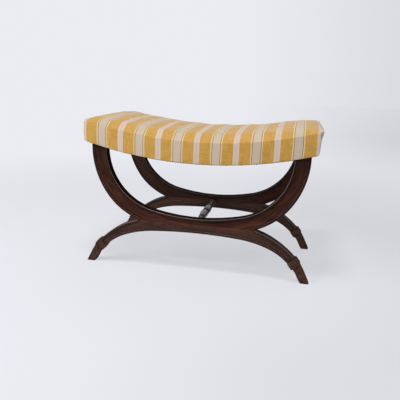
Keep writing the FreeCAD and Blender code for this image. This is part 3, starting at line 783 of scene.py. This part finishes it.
on_crown = soft * smooth(crown_share / WAVES_WHOLE_AT) + streaks * smooth(crown_share / STREAKS_WHOLE_AT)
raised = ON_TOP[:, None] * on_crown + on_wall * (tugs + hem) + SEAM_HEIGHT * seam
raised *= smooth((1 - np.abs(columns)) / END_MARGIN)
strip += outwards * raised[..., None]
print("creases from", raised.min(), "to", raised.max())

# %% [markdown]
# ## The end panels
#
# Each end of the seat is a panel of its own, and at its two upright edges the spare cloth is folded over
# into a flat pleat. A panel could be a flat face pushed against the strip, but a gap would show. So each
# column of its grid starts at a point of the strip's own end and runs down the wall and under the seat.

# %% Grid of an end panel
PLEAT_Y, PLEAT_EDGE, PLEAT_HEIGHT = 0.1965, 0.0025, 0.0014
PLEAT_MARGIN, WAVE_MARGIN, SIDE_MARGIN = 0.004, 0.01, 0.02
PANEL_WAVES, PANEL_WAVE_LENGTH, PANEL_SEED = 0.0008, 0.06, 11
LEAST_SHRINK = 0.01
DOWN = np.arange(ARRIS, -1, -1)


def end_panel(side):
    """Points of an end panel: y shrinks towards the middle of the underside, and x stands out.

    x is the end of the seat less the inset, plus the puff, the pleat and soft waves. z is the dip plus
    the height on the wall, and near the arris it takes up the crown of the strip's end.
    """
    inwards, high = inset[DOWN][:, None], height[DOWN][:, None]
    # The first row is the end of the strip, exactly, so that the two can be sewn
    inwards[0] = 0.0
    shrink = (HALF_DEPTH - inwards) / HALF_DEPTH
    y = ROW_Y[TOP_ROWS][None, :] * shrink
    stretch = np.where(high > EDGE_RADIUS, high / BOXING_HEIGHT, 0)
    x = side * (HALF_LENGTH - inwards + puff(side, y / shrink.clip(LEAST_SHRINK), high) * (inwards <= 0))
    crown_here = ROW_SHARE[TOP_ROWS][None, :] * crown(HALF_LENGTH) * settled(side * HALF_LENGTH)
    z = dish(x) + high + stretch * crown_here - corner_sink(side * (HALF_LENGTH - inwards), high)
    below_top = BOXING_HEIGHT - high
    off_foot = smooth(high / WAVE_MARGIN)
    pleat = smooth((np.abs(y) - PLEAT_Y) / PLEAT_EDGE)
    pleat = pleat * smooth((HALF_DEPTH + BOXING_BULGE - np.abs(y)) / PLEAT_MARGIN)
    pleat = pleat * off_foot * smooth(below_top / PLEAT_MARGIN)
    soft = PANEL_WAVES * soft_noise(y, high, PANEL_WAVE_LENGTH, PANEL_SEED + side) * off_foot
    soft *= smooth(below_top / WAVE_MARGIN) * smooth((HALF_DEPTH - np.abs(y)) / SIDE_MARGIN)
    x = x + side * (PLEAT_HEIGHT * pleat + soft) * (high > 0)
    return np.stack([x, y, z], axis=-1)


ends = {side: end_panel(side) for side in (-1, 1)}
print("end panel grid", ends[1].shape)

# %% [markdown]
# ## From grids to a sewn cover
#
# A grid of points becomes a mesh once its neighbours are joined by four-cornered faces. The strip and
# the two panels meet point for point along their seams, so merging those points sews them into one
# closed cover. Every corner of a face also keeps its place on the flat cloth, which sets the stripes.
# At last one pass of smoothing eases the arrises, as stuffing under the cloth does.

# %% Meshes from grids


def grid_faces(rows, columns):
    """Four-cornered faces between neighbouring points of a grid, wound one way."""
    corner = np.arange(rows * columns).reshape(rows, columns)
    return np.stack([corner[:-1, :-1], corner[:-1, 1:], corner[1:, 1:], corner[1:, :-1]], -1).reshape(-1, 4)


def lengths_along(points, axis):
    """Distance from the first row, summed along an axis of the grid."""
    steps = np.linalg.norm(np.diff(points, axis=axis), axis=-1)
    pad = np.zeros_like(np.take(steps, [0], axis=axis))
    return np.concatenate([pad, np.cumsum(steps, axis=axis)], axis=axis)


def piece_from(name, points, faces, corner_uv, material):
    """One object from points and faces, with a UV place for every corner of every face."""
    mesh = bpy.data.meshes.new(name)
    mesh.from_pydata(points.reshape(-1, 3), [], faces.tolist())
    mesh.uv_layers.new(name="cloth").data.foreach_set("uv", corner_uv.astype(np.float32).ravel())
    mesh.materials.append(material)
    piece = bpy.data.objects.new(name, mesh)
    bpy.context.scene.collection.objects.link(piece)
    return piece


def sewn_shut(piece, gap):
    """Merges points that lie within the gap, as at the seams, and turns every face outwards."""
    work = bmesh.new()
    work.from_mesh(piece.data)
    bmesh.ops.remove_doubles(work, verts=work.verts, dist=gap)
    bmesh.ops.recalc_face_normals(work, faces=work.faces)
    work.to_mesh(piece.data)
    open_edges = sum(1 for edge in work.edges if not edge.is_manifold)
    work.free()
    piece.data.shade_smooth()
    print(piece.name, "faces", len(piece.data.polygons), "open edges", open_edges)


# %% The cover
SEAM_GAP = 0.00012
STRIPES_TURN_Y = 0.1972

parts, faces = [strip], [grid_faces(*strip.shape[:2])]
strip_uv = np.stack([columns[None, :] * HALF_LENGTH + 0 * x, lengths_along(strip, 0)], -1).reshape(-1, 2)
uvs = [strip_uv[faces[0]]]
count = strip[..., 0].size
for panel in ends.values():
    new = grid_faces(*panel.shape[:2])
    downwards = lengths_along(panel, 0)
    inwards = HALF_DEPTH - np.abs(panel[..., 1])
    # The stripes of a panel lie level, but upright in its pleats
    level = np.stack([HALF_LENGTH + downwards, panel[..., 1]], -1).reshape(-1, 2)
    upright = np.stack([HALF_LENGTH + inwards, downwards], -1).reshape(-1, 2)
    in_pleat = np.abs(panel[..., 1].reshape(-1)[new].mean(1)) > STRIPES_TURN_Y
    uvs.append(np.where(in_pleat[:, None, None], upright[new], level[new]))
    faces.append(new + count)
    parts.append(panel)
    count += panel[..., 0].size
points = np.concatenate([part.reshape(-1, 3) for part in parts])
cover = piece_from("seat_cover", points, np.concatenate(faces), np.concatenate(uvs), SATIN)
sewn_shut(cover, SEAM_GAP)
ease = cover.modifiers.new("soft_edges", "SMOOTH")
ease.factor = 0.5
ease.iterations = 1
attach(cover, "root")
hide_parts("striped_cover", "wadding", "stuffing_pad")

# %% [markdown]
# ## The lining under the seat
#
# A thin black lining hides the webbing. It is tacked round its edge, over the turned-in edge of the
# striped cloth, and cut out round each arm head. A plain flat face would look like a board, so it is a
# grid that follows the dip and sags a little between its tacked edges, and a modifier gives it thickness.

# %% Finish of the lining
LINING_PITCH, LINING_WEAVE_DEPTH = 0.0009, 0.00015
LINING_BLACK, LINING_DUST, DUST_SPOTS = rgb(24, 23, 24), rgb(52, 49, 46), 30.0


def lining_finish():
    """A woven black cotton with a little dust."""
    finish = Finish("black_lining", Roughness=0.85, Specular_IOR_Level=0.2, Sheen_Weight=0.1)
    dust = finish.noise(finish.place(), DUST_SPOTS, 4.0)
    finish.set(Base_Color=finish.ramp(dust, (0.35, LINING_BLACK), (0.75, LINING_DUST)))
    finish.relief(plain_weave(finish, LINING_PITCH), LINING_WEAVE_DEPTH, 0.5)
    return finish.material


BLACK_COTTON = lining_finish()
print("finish", BLACK_COTTON.name)

# %% Lining
LINING_X, LINING_Y = 0.3755, 0.2075
END_HEM, SIDE_HEM = 0.010, 0.004
# The cut-out round an arm head, and the size of a cell of the grid
HEAD_X, HEAD_Y = (0.3095, 0.3610), (0.1620, 0.1950)
CELL = 0.006
LINING_GAP, SAG = 0.0010, 0.0022
LINING_WAVES, LINING_WAVE_LENGTH, LINING_SEED, TACKED_MARGIN = 0.0005, 0.09, 21, 0.04
LINING_THICKNESS, LINING_MERGE = 0.0006, 0.00001


def spaced(edges, step):
    """Places about a step apart, from the first edge to the last, that include every edge."""
    runs = [np.linspace(start, end, max(2, round((end - start) / step) + 1))[:-1]
            for start, end in zip(edges[:-1], edges[1:])]
    return np.append(np.concatenate(runs), edges[-1])


def mirrored(half):
    """The places of one half, and before them the same on the other side of 0."""
    return np.append(-half[::-1][:-1], half)


half_x = spaced([0, *HEAD_X, LINING_X - END_HEM, LINING_X], CELL)
half_y = spaced([0, *HEAD_Y, LINING_Y - SIDE_HEM, LINING_Y], CELL)
x, y = np.meshgrid(mirrored(half_x), mirrored(half_y))
# The sag falls as the square of x and the fourth power of y to the tacked edges
sag = SAG * (1 - (x / LINING_X) ** 2) * (1 - (y / LINING_Y) ** 4)
sag += (LINING_WAVES * soft_noise(x, y, LINING_WAVE_LENGTH, LINING_SEED)
        * smooth((LINING_Y - np.abs(y)) / TACKED_MARGIN))
lining_grid = np.stack([x, y, dish(x) - LINING_GAP - sag], -1)
lining_faces = grid_faces(*x.shape)
middle_x, middle_y = np.abs(lining_grid.reshape(-1, 3)[lining_faces].mean(1))[:, :2].T
in_head = ((middle_x > HEAD_X[0]) & (middle_x < HEAD_X[1])
           & (middle_y > HEAD_Y[0]) & (middle_y < HEAD_Y[1]))
lining_faces = lining_faces[~in_head]
lining_uv = lining_grid[..., :2].reshape(-1, 2)[lining_faces]
seat_lining = piece_from("seat_lining", lining_grid, lining_faces, lining_uv, BLACK_COTTON)
sewn_shut(seat_lining, LINING_MERGE)
thick = seat_lining.modifiers.new("thickness", "SOLIDIFY")
thick.thickness = LINING_THICKNESS
thick.offset = 0
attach(seat_lining, "root")
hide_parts("dust_cover")

# %% [markdown]
# ## Floor
#
# The stool stands on pale paper that seems to have no end. A lit sheet alone would show its edge and
# turn grey far from the lamps. So for the rays that are seen, straight, in a polish or through glass, the
# paper mixes in its own plain colour: about six tenths near the stool, where it still takes a soft
# shadow, and all of it further off. To the right and far away that plain colour is dimmed, a painted
# fall-off of the light.

# %% Paper floor
PAPER = rgb(235, 236, 241)
DIM_PAPER = rgb(203, 203, 208)
MATT_PAPER = rgb(240, 240, 243)
OWN_SHARE = 0.62
# Distances from the stool, in metres, over which a share rises
OWN_COLOUR = (0.6, 2.6)
NEAR_DIM, FAR_DIM = (0.4, 0.9), (1.5, 5.0)
TO_THE_RIGHT = (-0.2, 0.5)
FLOOR_REACH, FLOOR_LINES = 12.0, 9


def seen_rays(nodes):
    """1 for the rays that show a surface: those of the camera, of reflections and of glass."""
    straight, reflected, through = (nodes.node("LightPath", out=f"Is {kind} Ray")
                                    for kind in ("Camera", "Glossy", "Transmission"))
    return (straight + reflected + through).least(1.0)


def paper_finish():
    """Matt paper that mixes in its own colour, more and more with the distance from the stool."""
    finish = Finish("paper", Roughness=0.9, Specular_IOR_Level=0.1, Base_Color=MATT_PAPER)
    x, y = finish.axes(finish.place())[:2]
    distance = (x * x + y * y) ** 0.5
    own = OWN_SHARE + (1.0 - OWN_SHARE) * finish.step(distance, *OWN_COLOUR)
    # Painted shade: the paper's glow dims to the right and far away
    dim = 0.4 * finish.step(distance, *NEAR_DIM) + 0.6 * finish.step(distance, *FAR_DIM)
    dim = dim * finish.step(x / distance, *TO_THE_RIGHT)
    glow = finish.node("Emission", Color=finish.mix(dim, PAPER, DIM_PAPER), Strength=1.0)
    lit = Val(finish.tree, finish.shader.outputs[0])
    mixed = finish.node("MixShader", _0=seen_rays(finish) * own, _1=lit, _2=glow)
    feed(finish.tree, finish.tree.nodes["Material Output"].inputs["Surface"], mixed)
    return finish.material


lines = np.linspace(-FLOOR_REACH, FLOOR_REACH, FLOOR_LINES)
floor_x, floor_y = np.meshgrid(lines, lines)
floor_grid = np.stack([floor_x, floor_y, 0 * floor_x], -1)
floor_faces = grid_faces(*floor_x.shape)
paper = piece_from("paper_floor", floor_grid, floor_faces,
                   floor_grid[..., :2].reshape(-1, 2)[floor_faces], paper_finish())
print("floor", 2 * FLOOR_REACH, "m wide")

# %% [markdown]
# ## World and lamps
#
# The world behind has the paper's colours for the rays that are seen, and lights the stool evenly for all
# others. Soft square lamps add the rest: the main one from the upper left gives the shadow, a small one
# above the front lights the seat and the arrises, and a weak one behind and one in front fill the shade.

# %% World
AMBIENT, AMBIENT_STRENGTH = (0.86, 0.88, 0.93, 1), 0.33

world = bpy.data.worlds.new("studio")
bpy.context.scene.world = world
world.use_nodes = True
sky = Nodes(world.node_tree)
even_light = sky.node("Background", Color=AMBIENT, Strength=AMBIENT_STRENGTH)
direction_x = sky.axes(sky.node("TexCoord", out="Generated"))[0]
# Painted shade: the backdrop seen to the right is dimmed like the paper
backdrop = sky.node("Background", Color=sky.mix(sky.step(direction_x, *TO_THE_RIGHT), PAPER, DIM_PAPER))
chosen = sky.node("MixShader", _0=seen_rays(sky), _1=even_light, _2=backdrop)
feed(sky.tree, sky.tree.nodes["World Output"].inputs["Surface"], chosen)
print("world", world.name)

# %% Lamps
COOL, NEUTRAL, WARM = (0.97, 0.98, 1.09), (1, 1, 1), (1.04, 0.99, 0.90)


def lamp(name, place, aim_height, size, power, colour):
    """A square soft light at place, aimed at a point of that height on the stool's middle line."""
    data = bpy.data.lights.new(name, "AREA")
    data.size = size
    data.energy = power
    data.color = colour
    light = bpy.data.objects.new(name, data)
    light.location = place
    light.rotation_euler = (Vector((0, 0, aim_height)) - Vector(place)).to_track_quat("-Z", "Y").to_euler()
    bpy.context.scene.collection.objects.link(light)


lamp("key", (-1.9, -1.5, 1.45), aim_height=0.35, size=1.4, power=32, colour=COOL)
lamp("over_front", (-0.1, -0.85, 2.6), aim_height=0.2, size=0.45, power=23, colour=NEUTRAL)
lamp("back", (0.6, 2.2, 2.6), aim_height=0.4, size=1.8, power=8, colour=NEUTRAL)
lamp("front_fill", (1.6, -2.6, 1.6), aim_height=0.3, size=2.4, power=4, colour=WARM)
bpy.context.scene.view_settings.view_transform = "Standard"
